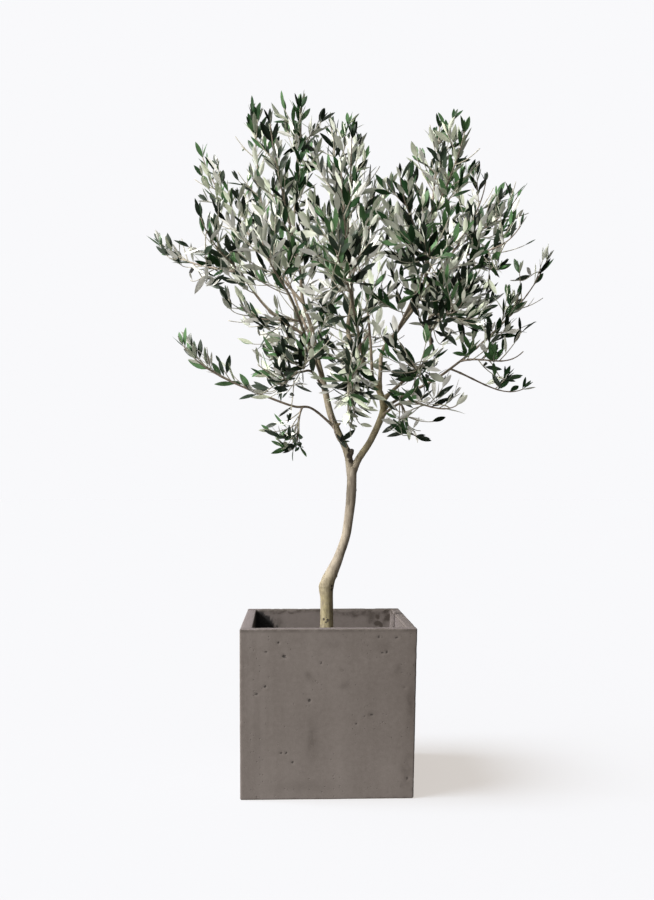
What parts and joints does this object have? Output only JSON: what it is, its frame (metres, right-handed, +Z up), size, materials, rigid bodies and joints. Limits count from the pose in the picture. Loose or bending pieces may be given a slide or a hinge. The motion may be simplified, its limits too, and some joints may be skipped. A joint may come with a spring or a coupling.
{
  "type": "potted olive tree",
  "caption": "Young olive tree with a forked trunk and an open crown of slim leaves, in a square cast planter with soil.",
  "frame": {"origin": "centre of the planter's flat underside, on the ground", "axes": "+Z up along the tree, -Y towards the viewer of the picture, +X to that viewer's right"},
  "size_m": [0.9997, 0.828, 1.6369],
  "materials": {
    "cast_clay": "matt cast surface with small pores",
    "potting_soil": "crumbly",
    "olive_bark": "smooth young bark with small scars",
    "olive_leaf": "satin above, matt and silvery below"
  },
  "bodies": {
    "root": {"planter": "cast_clay", "potting_soil": "potting_soil", "trunk": "olive_bark", "bough_left": "olive_bark", "bough_right": "olive_bark", "limb_low_left": "olive_bark", "limb_left_arm": "olive_bark", "limb_left_rise": "olive_bark", "limb_front_left": "olive_bark", "limb_back_left": "olive_bark", "limb_inner_left": "olive_bark", "limb_low_right": "olive_bark", "limb_right_low": "olive_bark", "limb_right_mid": "olive_bark", "limb_right_rise": "olive_bark", "limb_back_mid": "olive_bark", "limb_front_mid": "olive_bark", "limb_front_right": "olive_bark", "limb_back_right": "olive_bark", "limb_right_far": "olive_bark", "foliage_low_left": "olive_leaf", "foliage_hanging": "olive_leaf", "foliage_left_reach": "olive_leaf", "foliage_left_shoulder": "olive_leaf", "foliage_left_crest": "olive_leaf", "foliage_top_left": "olive_leaf", "foliage_top_left_inner": "olive_leaf", "foliage_summit": "olive_leaf", "foliage_top_mid": "olive_leaf", "foliage_top_mid_right": "olive_leaf", "foliage_saddle": "olive_leaf", "foliage_right_crown": "olive_leaf", "foliage_right_peak": "olive_leaf", "foliage_right_peak_outer": "olive_leaf", "foliage_right_shoulder_high": "olive_leaf", "foliage_right_shoulder": "olive_leaf", "foliage_right_mid": "olive_leaf", "foliage_right_reach": "olive_leaf", "foliage_right_low": "olive_leaf", "foliage_right_droop": "olive_leaf", "foliage_low_right_curve": "olive_leaf", "foliage_low_right_hang": "olive_leaf", "foliage_left_inner": "olive_leaf", "foliage_left_droop": "olive_leaf", "foliage_inner_hang": "olive_leaf", "foliage_front_left": "olive_leaf", "foliage_front_mid": "olive_leaf", "foliage_front_right": "olive_leaf", "foliage_front_high": "olive_leaf", "foliage_front_right_low": "olive_leaf", "foliage_mid_right": "olive_leaf", "foliage_back_left": "olive_leaf", "foliage_back_left_low": "olive_leaf", "foliage_back_mid": "olive_leaf", "foliage_back_low": "olive_leaf", "foliage_back_right": "olive_leaf", "foliage_back_right_low": "olive_leaf", "foliage_under_left": "olive_leaf", "foliage_under_mid": "olive_leaf", "foliage_under_right": "olive_leaf"}
  },
  "joints": []
}
